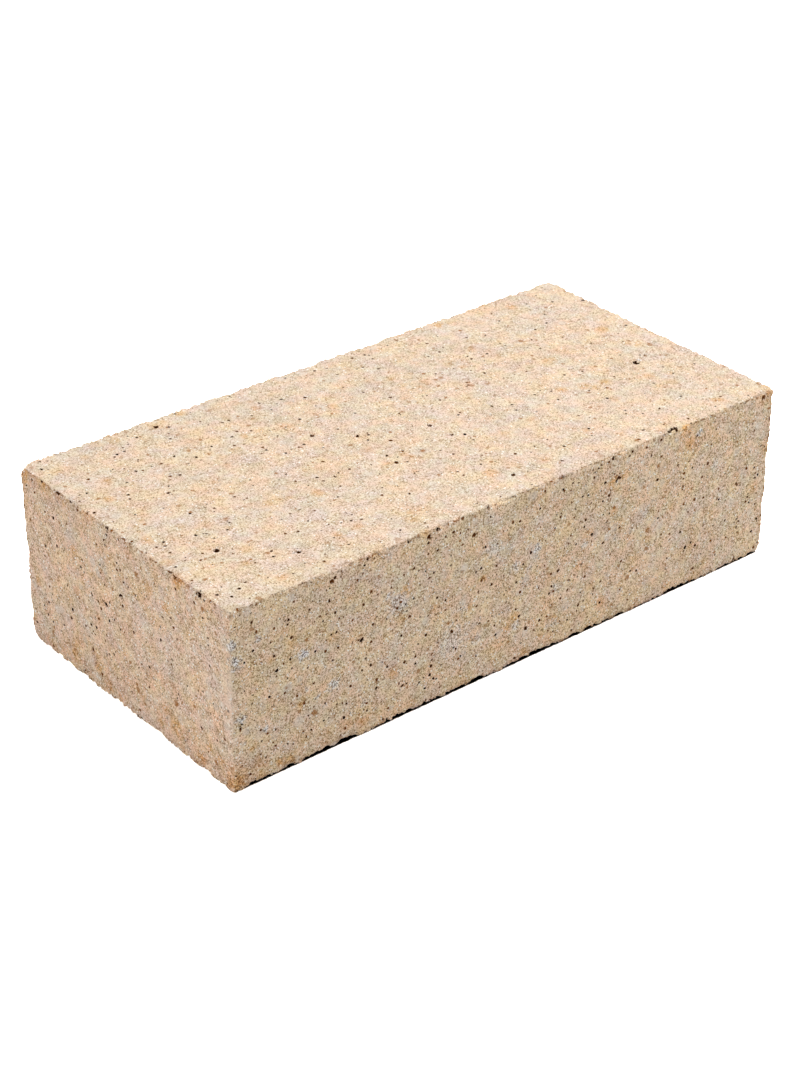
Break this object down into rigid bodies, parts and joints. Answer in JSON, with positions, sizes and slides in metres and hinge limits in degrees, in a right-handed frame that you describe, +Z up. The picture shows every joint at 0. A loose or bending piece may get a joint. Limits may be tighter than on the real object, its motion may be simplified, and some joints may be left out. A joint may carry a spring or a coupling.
{
  "type": "refractory firebrick",
  "caption": "Straight rectangular fireclay brick, dense and unglazed, with worn arrises and chipped corners, for lining kilns, stoves and furnaces.",
  "frame": {"origin": "middle of the bottom bed face", "axes": "+X along the length, +Y across the width, +Z up through the thickness with the brick lying on its bed face"},
  "size_m": [0.23, 0.114, 0.065],
  "materials": {
    "fired_clay": "matte"
  },
  "bodies": {
    "root": {"firebrick": "fired_clay"}
  },
  "joints": []
}
